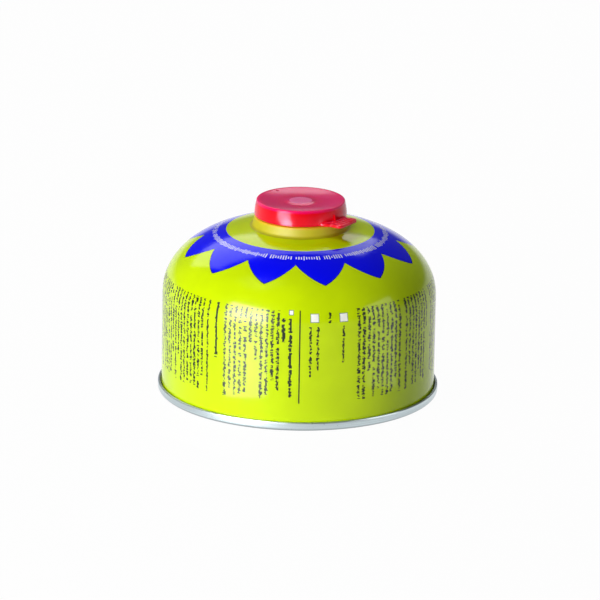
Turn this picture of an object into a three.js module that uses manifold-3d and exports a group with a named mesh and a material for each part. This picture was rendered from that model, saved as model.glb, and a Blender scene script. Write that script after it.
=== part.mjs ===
import * as THREE from 'three';
import { mergeVertices } from 'three/addons/utils/BufferGeometryUtils.js';
import Module from 'manifold-3d';

const wasm = await Module();
wasm.setup();

// A screw-on gas canister with its protective cap, in millimetres, +Z up.
// The origin is the centre of the ring that the canister stands on.

// Can body: straight wall, superellipse dome, neck collar and the curl round the opening
const bodyRadius = 53.6;
const wallTop = 39;
const domeRise = 28.2;
const domeCrownRadius = 9.3;
const domeExponent = 2.13;
const skirtPlate = 0.6;
const neckFillet = 1.3;
const collarHeight = 4.3;
const collarDraft = 0.6;
const collarStep = 0.05;
const collarEdge = 0.7;
const openingRadius = 12.7;
const curlWidth = 2.9;
const curlLift = 1.4;

// Bottom end: double seam, chuck wall and a panel domed inwards
const seamOverhang = 1.4;
const seamHeight = 3.4;
const seamFloor = 1;
const seamOuterCorner = 1.1;
const seamTopCorner = 0.4;
const seamInnerCorner = 0.4;
const endPlate = 0.5;
const panelEdgeSlope = 18;
const panelFillet = 1.4;
const chuckWallHeight = 3.4;

// Valve cup: crimp over the curl, bowl, and the threaded boss in its middle
const cupPlate = 0.45;
const crimpDepth = 3.35;
const cupBowlDepth = 9.4;
const cupFillet = 1;
const clinchBulge = 0.6;
const clinchWidth = 1.5;
const threadMajorRadius = 5.556;
const threadPitch = 0.907;
const threadDepth = 0.5;
const threadLength = 6.6;
const bossRise = 9.7;
const bossInnerRadius = 4.35;
const bossCornerRadius = 0.45;
const valveHoleRadius = 2;

// Valve: gaskets, housing, spring and stem
const cupGasketThickness = 0.45;
const stemGasketThickness = 1.2;
const housingLength = 15.8;
const housingWall = 0.8;
const housingFloor = 1.2;
const inletRadius = 0.8;
const stemNoseRadius = 1.2;
const stemNoseRecess = 0.5;
const stemFlangeRadius = 2.6;
const stemFlangeThickness = 1.2;
const stemShankRadius = 1.3;
const stemShankLength = 5;
const springWire = 0.7;
const springMeanRadius = 2.35;
const springTurns = 6;

// Cap: skirt, dished roof, centre disc, vent and pull tab
const capWall = 1.1;
const capDraft = 0.7;
const capCorner = 0.5;
const capSnapDepth = 0.3;
const capSnapLift = 1.2;
const capSnapWidth = 1.6;
const dishDepth = 0.8;
const dishFloorRadius = 7;
const rimLand = 0.7;
const discRadius = 4.4;
const discRise = 0.65;
const discBevel = 0.9;
const ventRadius = 0.65;
const ventPlace = 14.6;
const ventAzimuth = 129;
const tabAzimuth = -38.5;
const tabReach = 24.2;
const tabSkew = 0.9;
const tabWidth = 12.6;
const tabThickness = 1.25;
const tabCorner = 2;
const tabEdge = 0.25;
const tabRootNeck = 1;
const ledgeWidth = 1.9;
const ledgeSpan = 27;
const farRootSpan = 22;
const gussetAzimuth = -43;
const gussetHeight = 2.4;
const gussetReach = 1;
const gussetThickness = 0.6;
const gripRibCount = 3;
const gripRibHeight = 0.3;
const gripRibWidth = 0.8;
const gripRibSpacing = 1.7;

// Clearances between pieces that touch on the real canister, and under the cap's roof
const seatGap = 0.3;
const sealGap = 0.15;
const stemGap = 0.2;
const roofGap = 0.2;

// Facets round the large and the small turned pieces
const largeFacets = 48;
const smallFacets = 28;

const degrees = Math.PI / 180;

// Points on an arc in the radius and height plane, from one angle to another
function arc(centreRadius, centreHeight, radius, from, to, steps) {
  return Array.from({ length: steps + 1 }, (_, step) => {
    const angle = (from + ((to - from) * step) / steps) * degrees;
    return [centreRadius + radius * Math.cos(angle), centreHeight + radius * Math.sin(angle)];
  });
}

// Turned piece from a profile that runs anticlockwise with the radius to the right
function revolve(profile, facets) {
  const points = profile.map(([radius, height]) => new THREE.Vector2(radius, height));
  return new THREE.LatheGeometry(points, facets).rotateX(Math.PI / 2);
}

// Turned ring whose profile closes on itself
function revolveRing(profile, facets) {
  return revolve([...profile, profile[0]], facets);
}

function toSolid(geometry) {
  const bare = geometry.clone();
  bare.deleteAttribute('normal');
  bare.deleteAttribute('uv');
  const merged = mergeVertices(bare, 1e-4);
  const corners = merged.index.array;
  const kept = [];
  for (let i = 0; i < corners.length; i += 3) {
    const [a, b, c] = corners.slice(i, i + 3);
    if (a !== b && b !== c && c !== a) kept.push(a, b, c);
  }
  const vertProperties = new Float32Array(merged.attributes.position.array);
  return new wasm.Manifold(
    new wasm.Mesh({ numProp: 3, vertProperties, triVerts: new Uint32Array(kept) }),
  );
}

function toGeometry(solid) {
  const mesh = solid.getMesh();
  const geometry = new THREE.BufferGeometry();
  geometry.setAttribute('position', new THREE.BufferAttribute(mesh.vertProperties, 3));
  geometry.setIndex(new THREE.BufferAttribute(mesh.triVerts, 1));
  geometry.computeVertexNormals();
  return geometry;
}

// Radii that the pieces share, each from the one inside it
const curlRadius = curlWidth / 2;
const curlCentreRadius = openingRadius + curlRadius;
const cupWallRadius = openingRadius - seatGap;
const crimpInnerRadius = openingRadius + curlWidth + seatGap;
const crimpRadius = crimpInnerRadius + cupPlate;
const capSnapRadius = crimpRadius + seatGap;
const capInnerRadius = capSnapRadius + capSnapDepth;
const capSkirtRadius = capInnerRadius + capWall;
const capTopRadius = capSkirtRadius - capDraft;
const collarTopRadius = capSkirtRadius - collarStep;
const neckRadius = collarTopRadius + collarDraft;
const seamRadius = bodyRadius + seamOverhang;
const chuckRadius = bodyRadius - skirtPlate - seatGap - endPlate;
const threadRootRadius = threadMajorRadius - threadDepth;
const bossWallRadius = (bossInnerRadius + 3 * threadRootRadius) / 4;
const housingRadius = bossInnerRadius - seatGap;
const housingBore = housingRadius - housingWall;

// Height of the dome over a radius
function domeHeight(radius) {
  const across = (radius - domeCrownRadius) / (bodyRadius - domeCrownRadius);
  return wallTop + domeRise * (1 - across ** domeExponent) ** (1 / domeExponent);
}

// Heights that the pieces share, each from the one below it
const neckHeight = domeHeight(neckRadius + neckFillet);
const shoulderHeight = neckHeight + collarHeight;
const curlCentre = shoulderHeight + curlLift;
const curlTop = curlCentre + curlRadius;
const crimpUnderside = curlTop + cupGasketThickness + 2 * sealGap;
const crimpTop = crimpUnderside + cupPlate;
const cupFloor = crimpTop - cupBowlDepth;
const clinchHeight = curlCentre - curlRadius - clinchWidth / 2;
const bossTop = cupFloor + bossRise;
const stemGasketTop = bossTop - cupPlate - sealGap;
const stemGasketUnderside = stemGasketTop - stemGasketThickness;
const housingTop = stemGasketUnderside - sealGap;
const housingBottom = housingTop - housingLength;
const stemFlangeTop = stemGasketUnderside - stemGap;
const stemFlangeUnderside = stemFlangeTop - stemFlangeThickness;
const capBottom = shoulderHeight + seatGap;
const capTop = Math.max(bossTop, crimpTop) + roofGap + capWall + dishDepth;

// Face of the end panel from the axis out to the chuck wall, set off upwards from its underside:
// a spherical dome that runs into a fillet without a kink
function panelFace(offset) {
  const filletCentre = chuckRadius - panelFillet;
  const slope = panelEdgeSlope * degrees;
  const sphere = filletCentre / Math.sin(slope) + panelFillet;
  const sphereCentre = chuckWallHeight - (sphere - panelFillet) * Math.cos(slope);
  const edge = 90 - panelEdgeSlope;
  return [
    ...arc(0, sphereCentre, sphere + offset, 90, edge, 4),
    ...arc(filletCentre, chuckWallHeight, panelFillet + offset, edge, 0, 2).slice(1),
  ];
}

function canBodyProfile() {
  const offset = endPlate + seatGap;
  const skirtInner = bodyRadius - skirtPlate;
  const dome = Array.from({ length: 12 }, (_, step) => {
    const angle = (step / 11) * 90 * degrees;
    const power = 2 / domeExponent;
    return [
      domeCrownRadius + (bodyRadius - domeCrownRadius) * Math.cos(angle) ** power,
      wallTop + domeRise * Math.sin(angle) ** power,
    ];
  }).filter(([radius]) => radius > neckRadius + neckFillet);
  const filletCentre = neckHeight + neckFillet;
  const wellRadius = housingRadius + seatGap;
  return [
    ...panelFace(offset),
    [skirtInner, seamFloor + seatGap],
    [bodyRadius, seamFloor + seatGap],
    ...dome,
    ...arc(neckRadius + neckFillet, filletCentre, neckFillet, 270, 180, 3),
    ...arc(collarTopRadius - collarEdge, shoulderHeight - collarEdge, collarEdge, 0, 90, 2),
    ...arc(curlCentreRadius, curlCentre, curlRadius, -50, 180, 7),
    [openingRadius, clinchHeight + clinchWidth / 2 + seatGap],
    [openingRadius + clinchBulge, clinchHeight],
    [openingRadius, clinchHeight - clinchWidth / 2 - seatGap],
    [openingRadius, cupFloor - cupPlate - seatGap],
    [wellRadius, cupFloor - cupPlate - seatGap],
    [wellRadius, housingBottom - seatGap],
    [0, housingBottom - seatGap],
  ];
}

function bottomEndProfile() {
  const channelOuter = bodyRadius + seatGap;
  const channelInner = chuckRadius + endPlate;
  return [
    ...panelFace(0),
    ...arc(chuckRadius + seamInnerCorner, seamInnerCorner, seamInnerCorner, 180, 270, 2),
    ...arc(seamRadius - seamOuterCorner, seamOuterCorner, seamOuterCorner, -90, 0, 4),
    ...arc(seamRadius - seamTopCorner, seamHeight - seamTopCorner, seamTopCorner, 0, 90, 2),
    [channelOuter, seamHeight],
    [channelOuter, seamFloor],
    [channelInner, seamFloor],
    ...panelFace(endPlate).reverse(),
  ];
}

function cupGasketProfile() {
  const bottom = curlTop + sealGap;
  const half = curlRadius - seatGap;
  return [
    [curlCentreRadius - half, bottom],
    [curlCentreRadius + half, bottom],
    [curlCentreRadius + half, bottom + cupGasketThickness],
    [curlCentreRadius - half, bottom + cupGasketThickness],
  ];
}

// Cup from the bowl's underside out to the crimp, over it, down the bowl and up the boss
function valveCupProfile() {
  const bowlOuter = cupWallRadius;
  const bowlInner = cupWallRadius - cupPlate;
  const channelCorner = curlRadius * 0.5;
  const bossFillet = cupFillet * 0.6;
  const underside = cupFloor - cupPlate;
  return [
    [bossInnerRadius, underside],
    ...arc(bowlOuter - cupFillet, underside + cupFillet, cupFillet, -90, 0, 3),
    [bowlOuter, clinchHeight - clinchWidth / 2],
    [bowlOuter + clinchBulge, clinchHeight],
    [bowlOuter, clinchHeight + clinchWidth / 2],
    ...arc(bowlOuter + channelCorner, crimpUnderside - channelCorner, channelCorner, 180, 90, 3),
    ...arc(crimpInnerRadius - channelCorner, crimpUnderside - channelCorner, channelCorner, 90, 0, 3),
    [crimpInnerRadius, crimpTop - crimpDepth],
    [crimpRadius, crimpTop - crimpDepth],
    ...arc(
      crimpRadius - channelCorner - cupPlate,
      crimpTop - channelCorner - cupPlate,
      channelCorner + cupPlate,
      0,
      90,
      4,
    ),
    ...arc(
      bowlInner + channelCorner + cupPlate,
      crimpTop - channelCorner - cupPlate,
      channelCorner + cupPlate,
      90,
      180,
      4,
    ),
    [bowlInner, clinchHeight + clinchWidth / 2],
    [bowlInner + clinchBulge, clinchHeight],
    [bowlInner, clinchHeight - clinchWidth / 2],
    ...arc(bowlInner - cupFillet, cupFloor + cupFillet, cupFillet, 0, -90, 3),
    ...arc(bossWallRadius + bossFillet, cupFloor + bossFillet, bossFillet, 270, 180, 3),
    ...arc(bossWallRadius - bossCornerRadius, bossTop - bossCornerRadius, bossCornerRadius, 0, 90, 3),
    [valveHoleRadius, bossTop],
    [valveHoleRadius, bossTop - cupPlate],
    [bossInnerRadius, bossTop - cupPlate],
  ];
}

// Sleeve with an outer helical thread, whose ridge lines follow the helix and run out at both ends
function threadSleeve(innerRadius, bottom, top) {
  const ridge = [
    [0, 0],
    [0.43, 1],
    [0.86, 0],
  ];
  const turns = Math.ceil((top - bottom) / threadPitch) + 2;
  const columns = [];
  for (let column = 0; column <= smallFacets; column += 1) {
    const turn = column / smallFacets;
    const rows = [[innerRadius, bottom]];
    for (let wrap = -1; wrap < turns; wrap += 1) {
      for (const [phase, rise] of ridge) {
        const height = THREE.MathUtils.clamp(bottom + (wrap + phase + turn) * threadPitch, bottom, top);
        const runOut = Math.min((height - bottom) / threadPitch, (top - height) / threadPitch, 1);
        rows.push([threadRootRadius + threadDepth * rise * runOut, height]);
      }
    }
    rows.push([innerRadius, top]);
    columns.push(rows);
  }
  const positions = columns.flatMap((rows, column) => {
    const angle = (column / smallFacets) * 2 * Math.PI;
    return rows.flatMap(([radius, height]) => [
      radius * Math.cos(angle),
      radius * Math.sin(angle),
      height,
    ]);
  });
  const count = columns[0].length;
  const corners = [];
  for (let column = 0; column < smallFacets; column += 1) {
    for (let row = 0; row < count; row += 1) {
      const a = column * count + row;
      const b = a + count;
      const c = column * count + ((row + 1) % count);
      const d = c + count;
      corners.push(a, b, d, a, d, c);
    }
  }
  const geometry = new THREE.BufferGeometry();
  geometry.setAttribute('position', new THREE.Float32BufferAttribute(positions, 3));
  geometry.setIndex(corners);
  return geometry;
}

function valveCupGeometry() {
  const cup = toSolid(revolveRing(valveCupProfile(), smallFacets));
  const sleeveRadius = (bossInnerRadius + bossWallRadius) / 2;
  const top = bossTop - bossCornerRadius;
  const thread = toSolid(threadSleeve(sleeveRadius, top - threadLength, top));
  return toGeometry(cup.add(thread));
}

function stemGasketProfile() {
  const hole = stemNoseRadius + seatGap;
  return [
    [hole, stemGasketUnderside],
    [housingRadius, stemGasketUnderside],
    [housingRadius, stemGasketTop],
    [hole, stemGasketTop],
  ];
}

function valveHousingProfile() {
  const floorTop = housingBottom + housingFloor;
  return [
    [inletRadius, housingBottom],
    ...arc(housingRadius - 1, housingBottom + 1, 1, -90, 0, 3),
    [housingRadius, housingTop],
    [housingBore, housingTop],
    [housingBore, floorTop],
    [inletRadius, floorTop],
  ];
}

function valveStemProfile() {
  const noseTop = bossTop - stemNoseRecess;
  return [
    [0, stemFlangeUnderside - stemShankLength],
    [stemShankRadius, stemFlangeUnderside - stemShankLength],
    [stemShankRadius, stemFlangeUnderside],
    [stemFlangeRadius, stemFlangeUnderside],
    [stemFlangeRadius, stemFlangeTop],
    [stemNoseRadius, stemFlangeTop],
    [stemNoseRadius, noseTop],
    [0, noseTop],
  ];
}

// Helix whose first and last turns lie closed, as on a wound compression spring
class SpringCurve extends THREE.Curve {
  constructor(bottom, top) {
    super();
    this.bottom = bottom + springWire / 2;
    this.rise = top - bottom - springWire;
  }

  getPoint(share, target = new THREE.Vector3()) {
    const turn = share * springTurns;
    const angle = turn * 2 * Math.PI;
    const closedRise = (springWire * 1.1) / this.rise;
    const openTurns = springTurns - 2;
    let lift = closedRise * turn;
    if (turn > 1) lift = closedRise + ((turn - 1) / openTurns) * (1 - 2 * closedRise);
    if (turn > springTurns - 1) lift = 1 - closedRise * (springTurns - turn);
    return target.set(
      springMeanRadius * Math.cos(angle),
      springMeanRadius * Math.sin(angle),
      this.bottom + this.rise * lift,
    );
  }
}

function valveSpringGeometry() {
  const wire = new THREE.Shape().absarc(0, 0, springWire / 2, 0, 2 * Math.PI);
  return new THREE.ExtrudeGeometry(wire, {
    extrudePath: new SpringCurve(
      housingBottom + housingFloor + sealGap,
      stemFlangeUnderside - sealGap,
    ),
    steps: springTurns * 12,
    curveSegments: 3,
  });
}

// Height of the cap's top face over a radius, from the centre disc out over the dish to the rim
function capTopFace() {
  const rimInner = capTopRadius - capCorner - rimLand;
  const dishFloor = capTop - dishDepth;
  const dish = Array.from({ length: 5 }, (_, step) => {
    const share = step / 4;
    const radius = rimInner + (dishFloorRadius - rimInner) * share;
    return [radius, dishFloor + dishDepth * (1 - share) ** 1.5];
  });
  return [
    ...dish,
    [discRadius + discBevel, dishFloor + 0.05],
    [discRadius, dishFloor + discRise],
    [0, dishFloor + discRise],
  ];
}

function capProfile() {
  const snapHeight = capBottom + capSnapLift;
  const roofRadius = capTopRadius - capWall;
  const dishFloor = capTop - dishDepth;
  const skirtHeight = capTop - capCorner - capBottom;
  return [
    [0, dishFloor + discRise - capWall],
    [discRadius, dishFloor + discRise - capWall],
    [discRadius + discBevel, dishFloor - capWall],
    [dishFloorRadius, dishFloor - capWall],
    [roofRadius - 1, capTop - capWall - 0.15],
    [roofRadius - 0.2, capTop - capWall - 0.8],
    [capInnerRadius, snapHeight + capSnapWidth / 2],
    [capSnapRadius, snapHeight + capSnapWidth / 4],
    [capSnapRadius, snapHeight - capSnapWidth / 4],
    [capInnerRadius, snapHeight - capSnapWidth / 2],
    [capInnerRadius, capBottom],
    [capSkirtRadius, capBottom],
    [capSkirtRadius - capDraft * 0.15, capBottom + skirtHeight * 0.4],
    [capSkirtRadius - capDraft * 0.45, capBottom + skirtHeight * 0.72],
    ...arc(capTopRadius - capCorner, capTop - capCorner, capCorner, 10, 90, 4),
    ...capTopFace(),
  ];
}

// Pull tab seen from above, with the radius along x: ledge, tongue and far root
function tabShape() {
  const root = capSkirtRadius - capWall / 2;
  const half = tabWidth / 2;
  const ledgeReach = capSkirtRadius + ledgeWidth;
  const from = -ledgeSpan * degrees;
  const to = farRootSpan * degrees;
  const shape = new THREE.Shape();
  shape.moveTo(root * Math.cos(from), root * Math.sin(from));
  shape.lineTo((capSkirtRadius + 0.4) * Math.cos(from), (capSkirtRadius + 0.4) * Math.sin(from));
  const nearReach = tabReach + tabSkew / 2;
  const farReach = tabReach - tabSkew / 2;
  shape.quadraticCurveTo(ledgeReach * 0.97, -half - 1, ledgeReach, -half);
  shape.lineTo(nearReach - tabCorner, -half);
  shape.quadraticCurveTo(nearReach, -half, nearReach, -half + tabCorner);
  shape.lineTo(farReach, half - tabCorner);
  shape.quadraticCurveTo(farReach, half, farReach - tabCorner, half);
  shape.lineTo(capSkirtRadius + 0.8, half - tabRootNeck);
  shape.lineTo(root * Math.cos(to), root * Math.sin(to));
  shape.absarc(0, 0, root, to, from, true);
  return shape;
}

// Small triangular web between the skirt and the tab's upper face
function gussetGeometry() {
  const tabTop = tabThickness;
  const shape = new THREE.Shape();
  shape.moveTo(capSkirtRadius - capWall / 2, tabTop / 2);
  shape.lineTo(capSkirtRadius + gussetReach, tabTop / 2);
  shape.lineTo(capSkirtRadius + gussetReach, tabTop);
  shape.lineTo(capSkirtRadius - 0.1, tabTop + gussetHeight);
  shape.lineTo(capSkirtRadius - capWall / 2, tabTop + gussetHeight);
  return new THREE.ExtrudeGeometry(shape, { depth: gussetThickness, bevelEnabled: false })
    .translate(0, 0, -gussetThickness / 2)
    .rotateX(Math.PI / 2)
    .rotateZ(gussetAzimuth * degrees)
    .translate(0, 0, capBottom);
}

function capGeometry() {
  const tab = new THREE.ExtrudeGeometry(tabShape(), {
    depth: tabThickness - 2 * tabEdge,
    bevelSize: tabEdge,
    bevelThickness: tabEdge,
    bevelOffset: -tabEdge,
    bevelSegments: 1,
    curveSegments: 5,
  })
    .translate(0, 0, tabEdge)
    .rotateZ(tabAzimuth * degrees)
    .translate(0, 0, capBottom);
  const vent = new THREE.CylinderGeometry(ventRadius, ventRadius, 3 * capWall, 12)
    .rotateX(Math.PI / 2)
    .translate(ventPlace, 0, capTop - capWall)
    .rotateZ(ventAzimuth * degrees);
  let cap = toSolid(revolve(capProfile(), largeFacets));
  cap = cap.add(toSolid(tab)).add(toSolid(gussetGeometry())).subtract(toSolid(vent));
  for (let rib = 0; rib < gripRibCount; rib += 1) {
    const reach = tabReach - tabSkew / 2 - gripRibWidth - gripRibSpacing * rib;
    const ribBar = new THREE.BoxGeometry(gripRibWidth, tabWidth - 2 * tabCorner, 2 * gripRibHeight)
      .translate(reach, 0, capBottom + tabThickness)
      .rotateZ(tabAzimuth * degrees);
    cap = cap.add(toSolid(ribBar));
  }
  return toGeometry(cap);
}

const limeLacquer = new THREE.MeshStandardMaterial({ color: 0xc8e600, roughness: 0.25, metalness: 0 });
const bareSteel = new THREE.MeshStandardMaterial({ color: 0xc8d2d2, roughness: 0.3, metalness: 1 });
const tinplate = new THREE.MeshStandardMaterial({ color: 0xd2d2cc, roughness: 0.28, metalness: 1 });
const redPlastic = new THREE.MeshStandardMaterial({ color: 0xf01418, roughness: 0.3, metalness: 0 });
const blackRubber = new THREE.MeshStandardMaterial({ color: 0x18181a, roughness: 0.8, metalness: 0 });
const whitePlastic = new THREE.MeshStandardMaterial({ color: 0xe6e4dc, roughness: 0.5, metalness: 0 });
const springSteel = new THREE.MeshStandardMaterial({ color: 0xa8a8a4, roughness: 0.35, metalness: 1 });

const canister = new THREE.Group();

function addPiece(name, geometry, material) {
  const mesh = new THREE.Mesh(geometry, material);
  mesh.name = name;
  canister.add(mesh);
}

addPiece('can_body', revolve(canBodyProfile(), largeFacets), limeLacquer);
addPiece('bottom_end', revolve(bottomEndProfile(), largeFacets), bareSteel);
addPiece('valve_cup', valveCupGeometry(), tinplate);
addPiece('cup_gasket', revolveRing(cupGasketProfile(), smallFacets), blackRubber);
addPiece('stem_gasket', revolveRing(stemGasketProfile(), smallFacets), blackRubber);
addPiece('valve_housing', revolveRing(valveHousingProfile(), smallFacets), whitePlastic);
addPiece('valve_spring', valveSpringGeometry(), springSteel);
addPiece('valve_stem', revolve(valveStemProfile(), smallFacets), whitePlastic);
addPiece('cap', capGeometry(), redPlastic);

export default canister;
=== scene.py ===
import math

import bpy
import numpy as np
from mathutils import Matrix


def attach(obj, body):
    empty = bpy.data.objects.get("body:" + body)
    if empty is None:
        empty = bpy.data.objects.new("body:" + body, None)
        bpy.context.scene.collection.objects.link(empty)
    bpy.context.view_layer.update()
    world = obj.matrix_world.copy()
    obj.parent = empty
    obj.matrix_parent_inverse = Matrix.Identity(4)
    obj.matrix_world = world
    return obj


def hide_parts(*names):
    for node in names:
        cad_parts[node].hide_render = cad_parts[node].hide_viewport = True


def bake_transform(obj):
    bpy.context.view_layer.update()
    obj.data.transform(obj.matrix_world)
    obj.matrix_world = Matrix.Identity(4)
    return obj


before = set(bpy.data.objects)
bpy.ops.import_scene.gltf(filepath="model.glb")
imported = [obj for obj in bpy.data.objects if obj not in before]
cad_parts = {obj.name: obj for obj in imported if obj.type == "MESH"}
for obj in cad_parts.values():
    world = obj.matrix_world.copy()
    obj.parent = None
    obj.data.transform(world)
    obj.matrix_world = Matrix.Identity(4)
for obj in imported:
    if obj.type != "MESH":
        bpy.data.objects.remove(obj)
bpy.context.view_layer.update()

millimetre = 0.001
canBody, stemBody, capBody = "can", "stem", "cap"


# the camera, at the photograph's distance, height and slight roll
cameraView = {
    "distance": 2500.0,          # mm, from the middle of the canister
    "elevation": 17.262,         # degrees
    "roll": 0.999,
    "lens": 382.66,
    "sensor": 36.0,
    "aimHeight": 39.0,
    "aimRight": 0.31,            # mm, moves the canister left in the frame
    "aimDown": 2.89,             # mm, moves the canister up in the frame
    "clip": (0.05, 40.0),        # m
}


# a camera or lamp at a place in metres, its own axes given, looking away from back
def addFacing(name, data, right, up, back, place):
    matrix = np.eye(4)
    matrix[:3, 0], matrix[:3, 1], matrix[:3, 2], matrix[:3, 3] = right, up, back, place
    item = bpy.data.objects.new(name, data)
    item.matrix_world = Matrix(matrix.tolist())
    bpy.context.scene.collection.objects.link(item)
    return item


def makeCamera(view):
    elevation = math.radians(view["elevation"])
    roll = math.radians(view["roll"])
    back = np.array([0.0, -math.cos(elevation), math.sin(elevation)])
    side = np.array([1.0, 0.0, 0.0])
    above = np.array([0.0, math.sin(elevation), math.cos(elevation)])
    right = math.cos(roll) * side + math.sin(roll) * above
    up = math.cos(roll) * above - math.sin(roll) * side
    place = np.array([0.0, 0.0, view["aimHeight"]]) + view["distance"] * back
    place = place + view["aimRight"] * right - view["aimDown"] * up
    data = bpy.data.cameras.new("studioCamera")
    data.sensor_width = view["sensor"]
    data.lens = view["lens"]
    data.clip_start, data.clip_end = view["clip"]
    bpy.context.scene.camera = addFacing("studioCamera", data, right, up, back, place * millimetre)


makeCamera(cameraView)
print("camera set")


# shader maths: an expression on wires adds the nodes it needs
class Wire:
    def __init__(self, graph, socket):
        self.graph = graph
        self.socket = socket

    def maths(self, operation, *values):
        return self.graph.node("ShaderNodeMath", {"operation": operation}, dict(enumerate(values)))

    def __add__(self, other):
        return self.maths("ADD", self, other)

    def __radd__(self, other):
        return self.maths("ADD", other, self)

    def __sub__(self, other):
        return self.maths("SUBTRACT", self, other)

    def __rsub__(self, other):
        return self.maths("SUBTRACT", other, self)

    def __mul__(self, other):
        return self.maths("MULTIPLY", self, other)

    def __rmul__(self, other):
        return self.maths("MULTIPLY", other, self)

    def __truediv__(self, other):
        return self.maths("DIVIDE", self, other)

    def __pow__(self, other):
        return self.maths("POWER", self, other)

    def __gt__(self, other):
        return self.maths("GREATER_THAN", self, other)

    def __lt__(self, other):
        return self.maths("LESS_THAN", self, other)

    def __or__(self, other):      # the larger of two masks
        return self.maths("MAXIMUM", self, other)

    def floor(self):
        return self.maths("FLOOR", self)

    def size(self):
        return self.maths("ABSOLUTE", self)

    def ease(self, low, high):    # 0 below low, 1 above high, smooth between
        inputs = {0: self, 1: low, 2: high, 3: 0.0, 4: 1.0}
        return self.graph.node("ShaderNodeMapRange", {"interpolation_type": "SMOOTHSTEP"}, inputs)


class Graph:
    def __init__(self, name=None, world=None):
        self.material = world or bpy.data.materials.new(name)
        self.material.use_nodes = True
        self.tree = self.material.node_tree
        self.shader = self.tree.nodes["Background" if world else "Principled BSDF"]

    def node(self, kind, settings=None, inputs=None, output=0):
        item = self.tree.nodes.new(kind)
        for key, value in (settings or {}).items():
            setattr(item, key, value)
        for key, value in (inputs or {}).items():
            self.feed(item.inputs[key], value)
        return Wire(self, item.outputs[output])

    def feed(self, socket, value):
        if isinstance(value, Wire):
            self.tree.links.new(value.socket, socket)
        else:
            socket.default_value = value

    def set(self, **values):      # sockets of the main shader, by name with _ for a space
        for name, value in values.items():
            self.feed(self.shader.inputs[name.replace("_", " ")], value)

    def place(self):              # Object coordinates in mm: x, y, z, radius, and degrees round the axis
        spot = self.node("ShaderNodeTexCoord", output=3)
        x, y, z = (self.node("ShaderNodeSeparateXYZ", inputs={0: spot}, output=i) * 1000.0 for i in range(3))
        radius = self.node("ShaderNodeMath", {"operation": "SQRT"}, {0: x * x + y * y})
        turn = self.node("ShaderNodeMath", {"operation": "ARCTAN2"}, {0: y, 1: x})
        return x, y, z, radius, turn * (180.0 / math.pi)

    def vector(self, x, y, z=0.0):
        return self.node("ShaderNodeCombineXYZ", inputs={0: x, 1: y, 2: z})

    def noise(self, vector, scale=1.0, detail=2.0, rough=0.5):
        inputs = {"Vector": vector, "Scale": scale, "Detail": detail, "Roughness": rough}
        return self.node("ShaderNodeTexNoise", inputs=inputs)

    def dice(self, vector):       # one random number for each different vector
        return self.node("ShaderNodeTexWhiteNoise", {"noise_dimensions": "3D"}, {"Vector": vector})

    def mix(self, mask, first, second):
        inputs = {0: mask, 6: first, 7: second}
        return self.node("ShaderNodeMix", {"data_type": "RGBA"}, inputs, output=2)

    def bump(self, height, strength, distance):
        inputs = {"Height": height, "Strength": strength, "Distance": distance * millimetre}
        self.set(Normal=self.node("ShaderNodeBump", inputs=inputs))


def paint(red, green, blue):      # a colour as a picture shows it, 0 to 255, made linear
    shown = np.array([red, green, blue]) / 255.0
    linear = np.where(shown <= 0.04045, shown / 12.92, ((shown + 0.055) / 1.055) ** 2.4)
    return (*linear.tolist(), 1.0)


# shapes: points are (radius, height) in mm, anticlockwise with the radius to the right
def arc(centreRadius, centreHeight, radius, start, stop, count):
    angle = np.radians(np.linspace(start, stop, count))
    return np.stack([centreRadius + radius * np.cos(angle), centreHeight + radius * np.sin(angle)], 1)


def line(start, stop, count=2):
    share = np.linspace(0.0, 1.0, count)[:, None]
    return np.array(start) * (1 - share) + np.array(stop) * share


def chain(*parts):
    points = np.concatenate([np.atleast_2d(np.array(part, float)) for part in parts])
    step = np.linalg.norm(np.diff(points, axis=0), axis=1)
    return points[np.concatenate([[True], step > 1e-6])]


def shadeSmooth(mesh, sharpAngle=32.0):
    mesh.polygons.foreach_set("use_smooth", np.ones(len(mesh.polygons), bool))
    mesh.set_sharp_from_angle(angle=math.radians(sharpAngle))


def addMesh(name, points, faces, sharpAngle=32.0):
    mesh = bpy.data.meshes.new(name)
    mesh.from_pydata((points * millimetre).tolist(), [], faces)
    mesh.update()
    shadeSmooth(mesh, sharpAngle)
    piece = bpy.data.objects.new(name, mesh)
    bpy.context.scene.collection.objects.link(piece)
    return piece


# a profile turned about the axis: x = r cos t, y = r sin t, z = h, where lift may move r by t and h;
# a point on the axis is a single vertex, and a profile that stays off the axis closes on itself
def turned(name, profile, segments, lift=None):
    rows = len(profile)
    angle = np.linspace(0.0, 2 * math.pi, segments, endpoint=False)
    radius = np.repeat(profile[:, :1], segments, 1)
    height = np.repeat(profile[:, 1:], segments, 1)
    if lift is not None:
        radius = radius + lift(angle[None, :], radius, height)
    points = np.stack([radius * np.cos(angle), radius * np.sin(angle), height], 2).reshape(-1, 3)
    number = np.arange(rows * segments).reshape(rows, segments)
    onAxis = profile[:, 0] < 1e-6
    number[onAxis] = number[onAxis][:, :1]
    below = number[:-1] if onAxis.any() else number
    above = number[1:] if onAxis.any() else np.roll(number, -1, 0)
    quads = np.stack([below, np.roll(below, -1, 1), np.roll(above, -1, 1), above], 2).reshape(-1, 4)
    used, index = np.unique(quads, return_inverse=True)
    quads = index.reshape(-1, 4)
    faces = [tuple(dict.fromkeys(quad)) for quad in quads.tolist()]
    return addMesh(name, points[used], faces)


def finishPiece(piece, graph, body, slot, *nodes):
    piece.data.materials.clear()
    piece.data.materials.append(graph.material)
    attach(piece, body)
    if nodes:
        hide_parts(*nodes)


def asMesh(piece):     # applies the modifiers
    depsgraph = bpy.context.evaluated_depsgraph_get()
    mesh = bpy.data.meshes.new_from_object(piece.evaluated_get(depsgraph))
    piece.modifiers.clear()
    piece.data = mesh
    shadeSmooth(mesh)


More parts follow.
